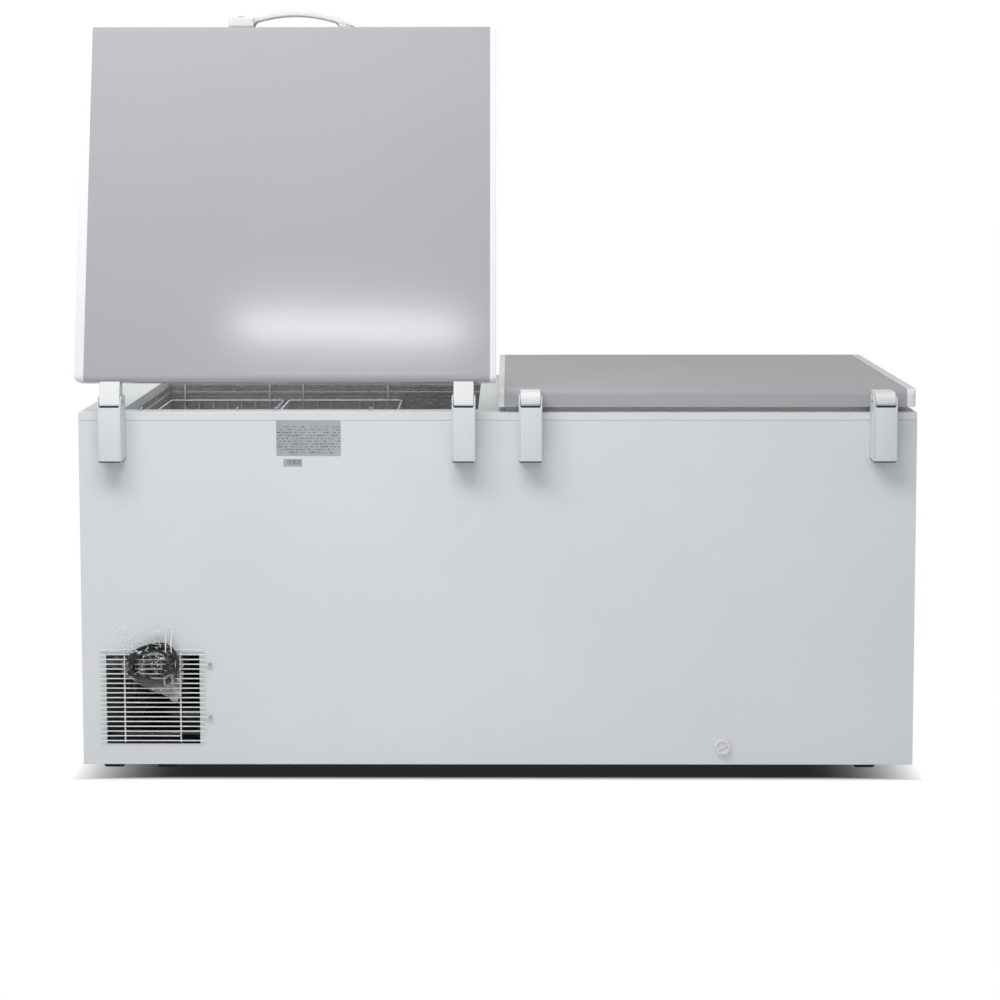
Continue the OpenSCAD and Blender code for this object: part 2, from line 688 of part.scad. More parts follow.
power_cord_lead();
power_cord_coil();
power_plug();
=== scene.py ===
import json
import math

import bmesh
import bpy
from mathutils import Matrix, Vector, noise


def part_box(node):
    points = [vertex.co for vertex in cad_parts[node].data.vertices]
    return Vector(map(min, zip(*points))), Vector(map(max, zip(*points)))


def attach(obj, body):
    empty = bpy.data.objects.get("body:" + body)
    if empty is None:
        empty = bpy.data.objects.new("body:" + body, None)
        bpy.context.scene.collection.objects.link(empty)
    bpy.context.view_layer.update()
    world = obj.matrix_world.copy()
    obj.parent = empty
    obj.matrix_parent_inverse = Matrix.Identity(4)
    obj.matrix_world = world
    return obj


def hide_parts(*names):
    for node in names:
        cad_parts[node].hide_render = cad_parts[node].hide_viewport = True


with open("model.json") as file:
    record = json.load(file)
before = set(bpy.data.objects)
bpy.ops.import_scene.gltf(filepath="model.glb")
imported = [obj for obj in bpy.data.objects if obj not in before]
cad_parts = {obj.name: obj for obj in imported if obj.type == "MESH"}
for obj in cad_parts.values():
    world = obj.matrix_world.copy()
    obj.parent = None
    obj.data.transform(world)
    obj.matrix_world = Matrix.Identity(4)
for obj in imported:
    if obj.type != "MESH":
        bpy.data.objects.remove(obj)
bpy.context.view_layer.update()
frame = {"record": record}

MM = 0.001
COL = bpy.context.scene.collection

# ---------------------------------------------------------------- the frame's own sizes
JOINTS = {j["name"]: j for j in frame["record"]["behaviour"]["joints"]}
OPEN = math.radians(-JOINTS["right_lid_hinge"]["range_deg"][0])  # how far the right lid stands open at rest
PIN = Vector(JOINTS["left_lid_hinge"]["pos_m"])
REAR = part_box("rear_panel")[1].y
HALF_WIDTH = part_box("rear_panel")[1].x
RIM_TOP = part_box("rear_rim")[1].z
LID_LO, LID_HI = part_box("left_lid_skin")
LID_FRONT, LID_BACK = LID_LO.y, LID_HI.y
LID_LOW, LID_TOP = LID_LO.z, LID_HI.z
LID_MID = -(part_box("left_lid_end_caps")[0].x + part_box("left_lid_end_caps")[1].x) / 2


def opened(side):
    """Turns a lid's closed shape to where that lid stands at rest; side is -1 left, 1 right."""
    angle = -OPEN if side > 0 else 0.0
    at = Matrix.Translation((0, PIN.y, PIN.z))
    return at @ Matrix.Rotation(angle, 4, "X") @ at.inverted()


# ---------------------------------------------------------------- camera
EYE = Vector((-0.0318, REAR + 4.976, 1.4644))
PITCH, YAW, ROLL = 4.499, 0.384, -0.064  # degrees
SENSOR, FOCAL_WIDTHS = 36, 2.156  # sensor width in mm, focal length in sensor widths
cam_data = bpy.data.cameras.new("camera")
camera = bpy.data.objects.new("camera", cam_data)
COL.objects.link(camera)
bpy.context.scene.camera = camera
camera.location = EYE
aim = Matrix.Rotation(math.radians(180 + YAW), 4, "Z") @ Matrix.Rotation(math.radians(90 - PITCH), 4, "X")
camera.rotation_euler = (aim @ Matrix.Rotation(math.radians(ROLL), 4, "Z")).to_euler()
cam_data.sensor_width = SENSOR
cam_data.lens = FOCAL_WIDTHS * SENSOR
cam_data.shift_x, cam_data.shift_y = 0.0036, -0.185
cam_data.dof.use_dof = False


# ---------------------------------------------------------------- mesh helpers
def finish_mesh(name, bm, material, body, smooth, matrix=None, *, slot):
    """Makes an object of a bmesh, shades it smooth up to an angle, and lets it ride on a body."""
    bmesh.ops.recalc_face_normals(bm, faces=bm.faces)
    if matrix is not None:
        bm.transform(matrix)
    mesh = bpy.data.meshes.new(name)
    bm.to_mesh(mesh)
    bm.free()
    mesh.polygons.foreach_set("use_smooth", [True] * len(mesh.polygons))
    mesh.set_sharp_from_angle(angle=math.radians(smooth))
    mesh.materials.append(material)
    piece = bpy.data.objects.new(name, mesh)
    COL.objects.link(piece)
    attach(piece, body)
    return piece


def add_box(bm, lo, hi, r=0.0, seg=3):
    """A box with rounded edges, added to a bmesh."""
    lo, hi = Vector(lo), Vector(hi)
    made = bmesh.ops.create_cube(bm, size=1.0)["verts"]
    size, mid = hi - lo, (lo + hi) / 2
    for v in made:
        v.co = Vector((v.co.x * size.x, v.co.y * size.y, v.co.z * size.z)) + mid
    if r > 0:
        edges = list({e for v in made for e in v.link_edges})
        bmesh.ops.bevel(bm, geom=edges, offset=r, segments=seg, profile=0.5, affect="EDGES")


def add_outline(bm, points, place, depth, r=0.0, seg=3):
    """Extrudes a closed 2D outline by depth; place(u, v, w) gives a point, and r rounds the two rims."""
    base = [bm.verts.new(place(u, v, 0.0)) for u, v in points]
    top = [bm.verts.new(place(u, v, depth)) for u, v in points]
    n = len(points)
    caps = [bm.faces.new(base), bm.faces.new(list(reversed(top)))]
    for i in range(n):
        j = (i + 1) % n
        bm.faces.new((base[i], base[j], top[j], top[i]))
    if r > 0:
        edges = list({e for f in caps for e in f.edges})
        bmesh.ops.bevel(bm, geom=edges, offset=r, segments=seg, profile=0.5, affect="EDGES")


def add_tube(bm, points, radius, sides=10, up=Vector((0, 0, 1))):
    """A round tube along points, with closed ends. radius is a number or one per point."""
    pts = [Vector(p) for p in points]
    rings, last = [], None
    for i, p in enumerate(pts):
        t = (pts[min(i + 1, len(pts) - 1)] - pts[max(i - 1, 0)]).normalized()
        if last is None:
            s = t.cross(up)
            if s.length < 0.1:
                s = t.cross(Vector((1, 0, 0)))
        else:
            s = last - t * last.dot(t)
        s.normalize()
        last = s
        w = t.cross(s)
        r = radius[i] if isinstance(radius, list) else radius
        rings.append([
            bm.verts.new(p + r * (math.cos(a) * s + math.sin(a) * w))
            for a in (2 * math.pi * k / sides for k in range(sides))
        ])
    for a, b in zip(rings, rings[1:]):
        for k in range(sides):
            m = (k + 1) % sides
            bm.faces.new((a[k], a[m], b[m], b[k]))
    bm.faces.new(rings[0])
    bm.faces.new(list(reversed(rings[-1])))


def add_lathe(bm, profile, centre, steps):
    """Turns a profile of (radius, along) points about the Y direction through centre."""
    rings = []
    for r, h in profile:
        ring = []
        for k in range(steps):
            a = 2 * math.pi * k / steps
            off = Vector((r * math.cos(a), h, r * math.sin(a)))
            ring.append(bm.verts.new(Vector(centre) + off))
        rings.append(ring)
    for a, b in zip(rings, rings[1:]):
        for k in range(steps):
            m = (k + 1) % steps
            bm.faces.new((a[k], a[m], b[m], b[k]))
    bm.faces.new(rings[0])
    bm.faces.new(list(reversed(rings[-1])))


def arc(cx, cy, r, a0, a1, n):
    """Points of an arc from angle a0 to a1, in degrees."""
    return [
        (cx + r * math.cos(math.radians(a0 + (a1 - a0) * i / n)),
         cy + r * math.sin(math.radians(a0 + (a1 - a0) * i / n)))
        for i in range(n + 1)
    ]


# ---------------------------------------------------------------- materials
class Nodes:
    """Short calls for building one material's node tree."""

    def __init__(self, name):
        self.mat = bpy.data.materials.new(name)
        self.mat.use_nodes = True
        self.tree = self.mat.node_tree
        self.bsdf = self.tree.nodes["Principled BSDF"]
        self.where = self.node("ShaderNodeTexCoord").outputs["Object"]

    def node(self, kind, **values):
        made = self.tree.nodes.new(kind)
        for key, value in values.items():
            if hasattr(made, key):
                setattr(made, key, value)
            else:
                made.inputs[key.replace("_", " ")].default_value = value
        return made

    def link(self, a, b):
        self.tree.links.new(a, b)

    def stretch(self, x, y, z):
        m = self.node("ShaderNodeMapping")
        m.inputs["Scale"].default_value = (x, y, z)
        self.link(self.where, m.inputs["Vector"])
        return m.outputs["Vector"]

    def noise(self, scale, detail=3.0, rough=0.5, vector=None):
        n = self.node("ShaderNodeTexNoise", Scale=scale, Detail=detail, Roughness=rough)
        self.link(vector or self.where, n.inputs["Vector"])
        return n.outputs["Fac"]

    def cells(self, scale, feature="F1", smooth=None, output="Distance", vector=None):
        n = self.node("ShaderNodeTexVoronoi", feature=feature)
        n.inputs["Scale"].default_value = scale
        if smooth is not None:
            n.inputs["Smoothness"].default_value = smooth
        self.link(vector or self.where, n.inputs["Vector"])
        return n.outputs[output]

    def span(self, value, low, high, from_low=0.3, from_high=0.7, kind="LINEAR"):
        m = self.node("ShaderNodeMapRange", interpolation_type=kind)
        m.inputs["From Min"].default_value = from_low
        m.inputs["From Max"].default_value = from_high
        m.inputs["To Min"].default_value = low
        m.inputs["To Max"].default_value = high
        self.link(value, m.inputs["Value"])
        return m.outputs["Result"]

    def blend(self, factor, a, b):
        m = self.node("ShaderNodeMix", data_type="RGBA")
        self.link(factor, m.inputs["Factor"])
        for socket, value in ((m.inputs[6], a), (m.inputs[7], b)):
            if isinstance(value, tuple):
                socket.default_value = (*value, 1.0)
            else:
                self.link(value, socket)
        return m.outputs[2]

    def math(self, op, a, b=0.0):
        m = self.node("ShaderNodeMath", operation=op)
        for socket, value in zip(m.inputs, (a, b)):
            if isinstance(value, (int, float)):
                socket.default_value = value
            else:
                self.link(value, socket)
        return m.outputs[0]

    def bump(self, height, strength, distance, normal=None):
        b = self.node("ShaderNodeBump", Strength=strength, Distance=distance)
        self.link(height, b.inputs["Height"])
        if normal:
            self.link(normal, b.inputs["Normal"])
        return b.outputs["Normal"]

    def edge(self, radius):
        b = self.node("ShaderNodeBevel", samples=4)
        b.inputs["Radius"].default_value = radius
        return b.outputs["Normal"]

    def done(self, colour, rough, normal=None, **fixed):
        for socket, value in (("Base Color", colour), ("Roughness", rough)):
            if isinstance(value, tuple):
                self.bsdf.inputs[socket].default_value = (*value, 1.0)
            elif isinstance(value, (int, float)):
                self.bsdf.inputs[socket].default_value = value
            else:
                self.link(value, self.bsdf.inputs[socket])
        if normal:
            self.link(normal, self.bsdf.inputs["Normal"])
        for key, value in fixed.items():
            self.bsdf.inputs[key.replace("_", " ")].default_value = value
        return self.mat


def shade(colour, factor):
    return tuple(min(1.0, c * factor) for c in colour)


def painted(name, colour, rough=0.36, peel=0.10, edge=1.2 * MM, vary=0.03, scuffs=0.16, coat=0.25,
            gloss=0.18):
    """Enamelled or powder-coated sheet: fine orange peel, faint tone changes, duller scuffed patches."""
    n = Nodes(name)
    tone = n.span(n.noise(2.3, 4.0), 0.0, 1.0)
    c = n.blend(tone, shade(colour, 1 - vary), shade(colour, 1 + vary * 0.5))
    patches = n.noise(38.0, 6.0, 0.7, n.stretch(1, 1, 0.25))
    scuff = n.span(patches, rough * (1 - scuffs * 0.6), rough * (1 + scuffs))
    normal = n.bump(n.noise(650.0, 2.0), peel, 0.25 * MM, n.edge(edge))
    return n.done(c, scuff, normal, Coat_Weight=coat, Coat_Roughness=gloss)


def moulded(name, colour, rough=0.42, grain=0.12, edge=1.5 * MM, vary=0.03, **fixed):
    """Moulded plastic: fine spark grain, flow tone and a soft edge. fixed sets the shader's own inputs."""
    n = Nodes(name)
    c = n.blend(n.span(n.noise(6.0, 3.0), 0, 1), shade(colour, 1 - vary), colour)
    r = n.span(n.noise(90.0, 4.0), rough * 0.88, rough * 1.15)
    normal = n.bump(n.noise(1400.0, 2.0), grain, 0.15 * MM, n.edge(edge))
    return n.done(c, r, normal, **fixed)


def stucco(name, colour):
    """Embossed aluminium sheet: shallow irregular pebbles, brushed tone, painted shade in the hollows and
    painted highlight on the crests.
    """
    n = Nodes(name)
    pebble = n.cells(105.0, "SMOOTH_F1", 0.6)
    height = n.span(pebble, 1.0, 0.0, 0.0, 0.75)
    # painted shade and highlight: the colour is darker in the pebble hollows and lighter on the crests
    tone = n.blend(height, shade(colour, 0.78), shade(colour, 1.05))
    c = n.blend(n.span(n.noise(5.0, 4.0), 0.0, 1.0), tone, shade(colour, 0.94))
    normal = n.bump(height, 0.55, 0.9 * MM)
    normal = n.bump(n.noise(480.0, 3.0), 0.08, 0.2 * MM, normal)
    return n.done(c, n.span(n.noise(24.0, 3.0), 0.26, 0.42), normal, Metallic=0.9)


def metal(name, colour, rough=0.35, spangle=0.0, tarnish=0.15):
    """Bare metal with drawn lines, tarnish and, for zinc, a spangle."""
    n = Nodes(name)
    c = n.blend(n.span(n.noise(14.0, 5.0), 0, 1), shade(colour, 1 - tarnish), colour)
    if spangle > 0:
        crystal = n.cells(70.0, "F1", output="Color")
        c = n.blend(n.span(crystal, 0, spangle, 0, 1), c, shade(colour, 1.25))
    fine = n.noise(220.0, 2.0, vector=n.stretch(1, 0.08, 1))
    normal = n.bump(fine, 0.12, 0.2 * MM, n.edge(0.6 * MM))
    return n.done(c, n.span(n.noise(40.0, 4.0), rough * 0.8, rough * 1.3), normal, Metallic=1.0)


def rubber(name, colour, rough=0.62, groove=0.0):
    """Soft rubber or PVC: dusty matte skin, and grooves along a seal where asked for."""
    n = Nodes(name)
    c = n.blend(n.span(n.noise(26.0, 5.0), 0, 1), colour, shade(colour, 1.5 if max(colour) < 0.2 else 0.93))
    normal = n.bump(n.noise(900.0, 3.0), 0.2, 0.15 * MM, n.edge(0.8 * MM))
    if groove > 0:
        ribs = n.node("ShaderNodeTexWave", wave_type="BANDS", bands_direction="Z", Scale=groove)
        n.link(n.where, ribs.inputs["Vector"])
        normal = n.bump(ribs.outputs["Fac"], 0.5, 0.8 * MM, normal)
    return n.done(c, n.span(n.noise(60.0, 3.0), rough * 0.85, rough * 1.15), normal)


def foamed(name, colour):
    """Cut polyurethane foam: open cells and a patchy tone."""
    n = Nodes(name)
    cell = n.cells(420.0)
    c = n.blend(n.span(n.noise(9.0, 5.0), 0, 1), shade(colour, 0.86), colour)
    return n.done(c, 0.9, n.bump(cell, 0.6, 1.2 * MM))


def dipped_wire(name, colour, rough=0.28):
    """Plastic-dipped wire: glossy skin with slow thickness changes."""
    n = Nodes(name)
    c = n.blend(n.span(n.noise(30.0, 3.0), 0, 1), shade(colour, 0.94), colour)
    normal = n.bump(n.noise(160.0, 3.0), 0.15, 0.5 * MM)
    return n.done(c, n.span(n.noise(50.0, 2.0), rough * 0.8, rough * 1.2), normal, Coat_Weight=0.3)


def printed_label(name):
    """Silver film with plain ruled rows and blocks, and a striped sticker below it."""
    n = Nodes(name)
    rows_low, rows_high = 0.748, 0.816
    bars_low, bars_high, bars_end = 0.724, 0.735, 0.494
    sep = n.node("ShaderNodeSeparateXYZ")
    n.link(n.where, sep.inputs[0])
    x, z = sep.outputs["X"], sep.outputs["Z"]
    rows = n.math("GREATER_THAN", n.math("FRACT", n.math("MULTIPLY", z, 150.0)), 0.62)
    dashes = n.span(n.noise(260.0, 0.0, vector=n.stretch(1, 0, 0.6)), 0.0, 1.0, 0.50, 0.56)
    inside = n.math("MULTIPLY", n.math("GREATER_THAN", z, rows_low), n.math("LESS_THAN", z, rows_high))
    ink = n.math("MULTIPLY", n.math("MULTIPLY", rows, dashes), inside)
    bars = n.math("GREATER_THAN", n.noise(700.0, 0.0, vector=n.stretch(1, 0, 0)), 0.5)
    low = n.math("MULTIPLY", n.math("LESS_THAN", z, bars_high), n.math("GREATER_THAN", z, bars_low))
    bars = n.math("MULTIPLY", n.math("MULTIPLY", bars, low), n.math("LESS_THAN", x, bars_end))
    ink = n.math("MULTIPLY", n.math("MAXIMUM", ink, bars), 0.72)
    base = n.blend(n.span(n.noise(12.0, 2.0), 0, 1), (0.42, 0.45, 0.48), (0.53, 0.56, 0.58))
    c = n.blend(ink, base, (0.10, 0.11, 0.13))
    normal = n.bump(n.noise(35.0, 2.0), 0.08, 0.5 * MM)
    return n.done(c, n.span(n.noise(60.0), 0.28, 0.4), normal, Metallic=0.35)


def pleat_highlights(n, x, z, pinch):
    """Painted highlight streaks that fan out from where the film is pinched."""
    dx = n.math("SUBTRACT", x, pinch[0])
    dz = n.math("SUBTRACT", z, pinch[1])
    reach = n.math("SQRT", n.math("ADD", n.math("MULTIPLY", dx, dx), n.math("MULTIPLY", dz, dz)))
    polar = n.node("ShaderNodeCombineXYZ")
    n.link(n.math("ARCTAN2", dz, dx), polar.inputs["X"])
    n.link(n.math("MULTIPLY", reach, 9.0), polar.inputs["Y"])
    streak = n.span(n.noise(3.4, 3.0, 0.6, polar.outputs[0]), 0.0, 0.75, 0.55, 0.66)
    return n.math("MULTIPLY", streak, n.span(reach, 1.0, 0.0, 0.006, 0.055))


def clear_film(name):
    """Thin crumpled polythene: nearly clear, a faint veil, thicker at the gathers, and painted highlights
    along the creases.
    """
    n = Nodes(name)
    crease = n.noise(34.0, 5.0, 0.65)
    fold = n.cells(26.0, "DISTANCE_TO_EDGE")
    normal = n.bump(crease, 0.9, 6 * MM)
    normal = n.bump(fold, 0.5, 3 * MM, normal)
    mat = n.done((0.93, 0.94, 0.95), 0.12, normal, IOR=1.5)
    sep = n.node("ShaderNodeSeparateXYZ")
    n.link(n.where, sep.inputs[0])
    x, z = sep.outputs["X"], sep.outputs["Z"]
    gather_low, gather_high = 0.160, 0.232
    gather = n.span(z, 0.42, 0.0, gather_low, gather_high)
    gathered = n.math("MULTIPLY", gather, n.span(n.noise(55.0, 3.0), 0.35, 1.0))
    veil = n.span(n.noise(16.0, 4.0, 0.6), 0.0, 0.06, 0.44, 0.72)
    ridge = n.math("ABSOLUTE", n.math("SUBTRACT", n.noise(30.0, 3.0, 0.55, n.stretch(1.0, 1.0, 1.7)), 0.5))
    here_and_there = n.span(n.noise(21.0, 1.0), 0.0, 0.8, 0.46, 0.58)
    # painted highlight: glint makes the white film opaque in thin ridges and pleat streaks, standing in for
    # light caught on the creases
    glint = n.math("MULTIPLY", n.span(ridge, 1.0, 0.0, 0.003, 0.018), here_and_there)
    for pinch in FILM_PINCHES:
        glint = n.math("MAXIMUM", glint, pleat_highlights(n, x, z, pinch))
    alpha = n.math("MAXIMUM", n.math("ADD", veil, gathered), glint)
    n.link(alpha, n.bsdf.inputs["Alpha"])
    return mat


FILM_PINCHES = ((0.873, 0.236), (0.748, 0.240))  # X and Z, either side of the coil

WHITE = painted("white_powder_coat", (0.735, 0.765, 0.775))
LID_GREY = painted("grey_lid_enamel", (0.41, 0.41, 0.43), rough=0.50, peel=0.02, vary=0.012, scuffs=0.06,
                   coat=0.8, gloss=0.11)
PLASTIC = moulded("white_plastic", (0.83, 0.835, 0.84))
HANDLE = moulded("handle_plastic", (0.70, 0.705, 0.71), Subsurface_Weight=0.8,
                 Subsurface_Radius=(1.0, 1.0, 1.0), Subsurface_Scale=18 * MM)
HINGE = moulded("hinge_plastic", (0.72, 0.75, 0.76), rough=0.36)
RIM = moulded("rim_plastic", (0.75, 0.775, 0.78), rough=0.45)
LINER = stucco("stucco_aluminium", (0.74, 0.72, 0.71))
ZINC = metal("zinc", (0.55, 0.56, 0.57), 0.4, spangle=0.5)
STEEL = metal("plated_steel", (0.58, 0.58, 0.59), 0.28)
COPPER = metal("copper_tube", (0.42, 0.23, 0.15), 0.42, tarnish=0.45)
CHROME = metal("chrome_lock", (0.8, 0.8, 0.81), 0.12, tarnish=0.05)
BLACK_PAINT = painted("black_enamel", (0.012, 0.012, 0.013), rough=0.3, vary=0.2)
BLACK = moulded("black_plastic", (0.018, 0.018, 0.019), rough=0.45, vary=0.2)
RUBBER = rubber("black_rubber", (0.02, 0.02, 0.02))
SEAL = rubber("lid_seal", (0.62, 0.62, 0.61), 0.55, groove=160.0)
CORD = rubber("cord_pvc", (0.012, 0.012, 0.013), 0.38)
FOAM = foamed("foam", (0.80, 0.72, 0.48))
WIRE = dipped_wire("white_dipped_wire", (0.84, 0.84, 0.85))
BASKET = dipped_wire("basket_wire", (0.70, 0.71, 0.73))
LABEL = printed_label("label_film")
FILM = clear_film("clear_bag_film")
LAMP = moulded("amber_lens", (0.85, 0.42, 0.06), rough=0.15)

FINISH = {
    "white_paint": WHITE, "lid_grey": LID_GREY, "white_plastic": PLASTIC, "rim_plastic": RIM,
    "stucco_aluminium": LINER, "foam": FOAM, "seal": SEAL, "copper": COPPER, "zinc": ZINC,
    "black_paint": BLACK_PAINT, "black_plastic": BLACK, "black_rubber": RUBBER, "white_wire": WIRE,
    "label_film": LABEL, "chrome": CHROME, "lamp_lens": LAMP, "cord_pvc": CORD,
}


def dress_cad_nodes():
    """Every carried-over CAD node gets its slot's material."""
    for part in frame["record"]["subparts"]:
        piece = bpy.data.objects.get(part["node"])
        if piece is None:
            continue
        piece.data.materials.clear()
        piece.data.materials.append(FINISH[part["material_slot"]])
    for name in ("hinge_pins", "hinge_screws", "hinge_springs", "grille_screws"):
        if name in bpy.data.objects:
            bpy.data.objects[name].data.materials[0] = STEEL


dress_cad_nodes()


# ---------------------------------------------------------------- power cord in its bag
CORD_R = 3.5 * MM
# The stretch from the clamp, in millimetres, point for point as in the CAD
LEAD = [(792, 384, 199), (792, 394, 199), (792, 404, 199), (792.4, 409, 199.1), (793.6, 414, 199.5),
        (795.3, 418, 200), (797.1, 421, 200.5), (798.3, 422.6, 200.9)]
# The quarter turn into the coil: its middle's Y, its radius, and the angles that the list leaves to it
TURN_FROM, TURN_R = 404 * MM, 30 * MM
QUARTER_ANGLES = range(46, 90, 7)
CORNERS = [Vector((19.5, -1)) * MM, Vector((-19.5, 11.5)) * MM, Vector((-19.5, -12)) * MM]
COIL_OUT = 45.5 * MM
COIL_LO, COIL_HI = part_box("power_cord_coil")
COIL_X = (COIL_LO.x + COIL_HI.x) / 2
COIL_Z = COIL_HI.z - CORNERS[1].y - COIL_OUT
PLUG_LO, PLUG_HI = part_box("power_plug")
EXIT = Vector((LEAD[0][0] * MM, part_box("cord_clamp")[1].y, LEAD[0][2] * MM))
# Where each turn starts: its radius about the corners and its Y, in millimetres; it drifts to the next
SLOTS = [(42, 434), (36, 426.7), (30, 426.7), (30, 433.1),
         (36, 433.1), (36, 439.5), (30, 439.5), (30, 439.5)]
MEAN_R = 36 * MM
TURN_START = 0.07
WHOLE_TURNS = 6
POINTS_A_TURN = 30
# The tail leaves the upper run this far before its end and bends down to the plug
TAIL_R = 31 * MM
TAIL_SHIFT = 10.5 * MM
PLUG_PIN, PIN_SPREAD = 19 * MM, 9.5 * MM


def ease(t):
    """Smooth step from 0 to 1."""
    t = max(0.0, min(1.0, t))
    return t * t * (3 - 2 * t)


def run_out(i):
    """Outward direction of the straight run from corner i to the next."""
    step = CORNERS[(i + 1) % 3] - CORNERS[i]
    return Vector((step.y, -step.x)).normalized()


def winding(share, radius):
    """Point at a share of one turn, from the start of the lower run; arcs about corners join three runs."""
    pieces = []
    for i in (2, 0, 1):
        a, b = CORNERS[i], CORNERS[(i + 1) % 3]
        turn = run_out(i).angle_signed(run_out((i + 1) % 3))
        pieces.append(("run", (b - a).length, a, b, run_out(i), 0.0))
        pieces.append(("arc", MEAN_R * abs(turn), b, b, run_out(i), abs(turn)))
    left = (share % 1.0) * sum(p[1] for p in pieces)
    for kind, length, a, b, out, turn in pieces:
        if left <= length:
            k = left / length
            if kind == "run":
                return a.lerp(b, k) + out * radius
            c, s = math.cos(turn * k), math.sin(turn * k)
            return a + Vector((out.x * c - out.y * s, out.x * s + out.y * c)) * radius
        left -= length
    return pieces[0][2] + pieces[0][4] * radius


def coil_point(turn):
    """Turns lie beside and over each other; each drifts to its neighbour's place in its last part."""
    i = int(turn)
    k = ease((turn - i - 0.5) / 0.5)
    radius = SLOTS[i][0] + (SLOTS[i + 1][0] - SLOTS[i][0]) * k + 0.3 * math.sin(8.3 * turn)
    depth = SLOTS[i][1] + (SLOTS[i + 1][1] - SLOTS[i][1]) * k
    p = winding(TURN_START + turn, radius * MM)
    return Vector((COIL_X + p.x, depth * MM, COIL_Z + p.y))


def cord_route():
    """Straight from the clamp, a quarter turn into the coil, the turns, and the tail down to the plug."""
    route = [EXIT] + [Vector(p) * MM for p in LEAD]
    along = (CORNERS[0] - CORNERS[2]).normalized()
    start = route[3]
    for angle in QUARTER_ANGLES:
        a = math.radians(angle)
        side = TURN_R * (1 - math.cos(a))
        depth = TURN_FROM + TURN_R * math.sin(a)
        route.append(Vector((start.x + side * along.x, depth, start.z + side * along.y)))
    down = CORNERS[1] - CORNERS[0]
    out = run_out(0)
    inner = SLOTS[-1][0] * MM
    top_run = down.length - TAIL_SHIFT
    leave = CORNERS[0] + down.normalized() * top_run
    centre = leave + out * (inner - TAIL_R)
    leave += out * inner
    # the share of a turn at which the winding comes nearest to where the tail leaves it
    shares = [0.4 + k / 8000 for k in range(1000)]
    last = min(shares, key=lambda share: (winding(share, inner) - leave).length)
    turns = WHOLE_TURNS + last - TURN_START
    count = round(turns * POINTS_A_TURN)
    coil = [coil_point(turns * k / count) for k in range(1, count + 1)]
    steps = 14
    bend_from = math.atan2(out.y, out.x)
    for k in range(1, steps + 1):
        a = bend_from + (math.pi - bend_from) * k / steps
        across, up = centre.x + TAIL_R * math.cos(a), centre.y + TAIL_R * math.sin(a)
        coil.append(Vector((COIL_X + across, coil[-1].y, COIL_Z + up)))
    rise = (PLUG_LO.y + PLUG_HI.y) / 2 - SLOTS[-1][1] * MM
    rising = steps + 8
    for k in range(rising):
        coil[k - rising].y += rise * ease((k + 1) / (rising - 1))
    return route + coil


def smooth_path(points, rounds):
    """Each round moves every inner point halfway to the middle of its neighbours."""
    pts = [Vector(p) for p in points]
    for _ in range(rounds):
        inner = [(a + 2 * b + c) / 4 for a, b, c in zip(pts, pts[1:], pts[2:])]
        pts = [pts[0]] + inner + [pts[-1]]
    return pts


def mains_plug(route):
    """Flat moulded plug with a waisted body, grip ribs, a sleeve round the cord, and two pins."""
    mid = (PLUG_LO + PLUG_HI) / 2
    half, low, high = PLUG_HI.x - mid.x, PLUG_LO.z + PLUG_PIN, PLUG_HI.z
    depth = PLUG_HI.y - PLUG_LO.y
    bm = bmesh.new()
    waist = [(half, low), (half, low + 9 * MM), (half * 0.86, low + 15 * MM), (half * 0.84, high - 6 * MM),
             (half * 0.52, high)]
    outline = [(mid.x + x, z) for x, z in waist] + [(mid.x - x, z) for x, z in reversed(waist)]
    add_outline(bm, outline, lambda u, v, w: Vector((u, PLUG_LO.y + w, v)), depth, 3.2 * MM, 4)
    grip_ribs, first_rib, rib_pitch, rib_high = 4, low + 14 * MM, 2.6 * MM, 1.1 * MM
    grip = half * 0.62
    for k in range(grip_ribs):
        z = first_rib + rib_pitch * k
        add_box(bm, (mid.x - grip, PLUG_HI.y - 0.6 * MM, z),
                (mid.x + grip, PLUG_HI.y + 0.5 * MM, z + rib_high), 0.4 * MM, 2)
    sleeve = route[-7:]
    add_tube(bm, sleeve, [(4.3 + 0.28 * k) * MM for k in range(len(sleeve))], 16)
    plug = finish_mesh("mains_plug", bm, BLACK, "cabinet", 35, slot="black_plastic")
    bm = bmesh.new()
    for s in (-1, 1):
        x = mid.x + s * PIN_SPREAD
        tip = [(x, mid.y, PLUG_LO.z + d * MM) for d in (0, 0.6, 1.6)] + [(x, mid.y, low + 1 * MM)]
        add_tube(bm, tip, [1.0 * MM, 1.6 * MM, 2 * MM, 2 * MM], 16, Vector((0, 1, 0)))
    pins = finish_mesh("plug_pins", bm, STEEL, "cabinet", 35, slot="zinc")
    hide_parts("power_plug")
    return [plug, pins]


def strain_relief():
    """Tapered sleeve on the cord where the clamp lets it go."""
    bm = bmesh.new()
    rings = [(6.2, -2), (6.2, 1), (5.6, 3), (5.9, 4), (5.2, 7), (5.5, 8), (4.9, 11), (5.1, 12), (4.5, 16),
             (4.1, 22)]
    add_lathe(bm, [(r * MM, h * MM) for r, h in rings], EXIT, 24)
    finish_mesh("cord_strain_relief", bm, RUBBER, "cabinet", 30, slot="black_rubber")


def power_cord():
    route = smooth_path(cord_route(), 3)
    bm = bmesh.new()
    add_tube(bm, route, CORD_R, 12)
    cord = finish_mesh("power_cord", bm, CORD, "cabinet", 60, slot="cord_pvc")
    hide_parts("power_cord_lead", "power_cord_coil")
    mains_plug(route)


power_cord()
strain_relief()


# The bag's outline: height, and where its two edges are from the coil's middle, in millimetres
BAG_ROWS = [(164, -56, -44), (172, -60, -38), (184, -64, -18), (198, -66, 12), (216, -70, 44),
            (236, -71, 76), (253, -72, 116), (268, -71, 92), (284, -68, 100), (304, -60, 110),
            (322, -40, 108), (338, -8, 98), (346, 24, 84)]


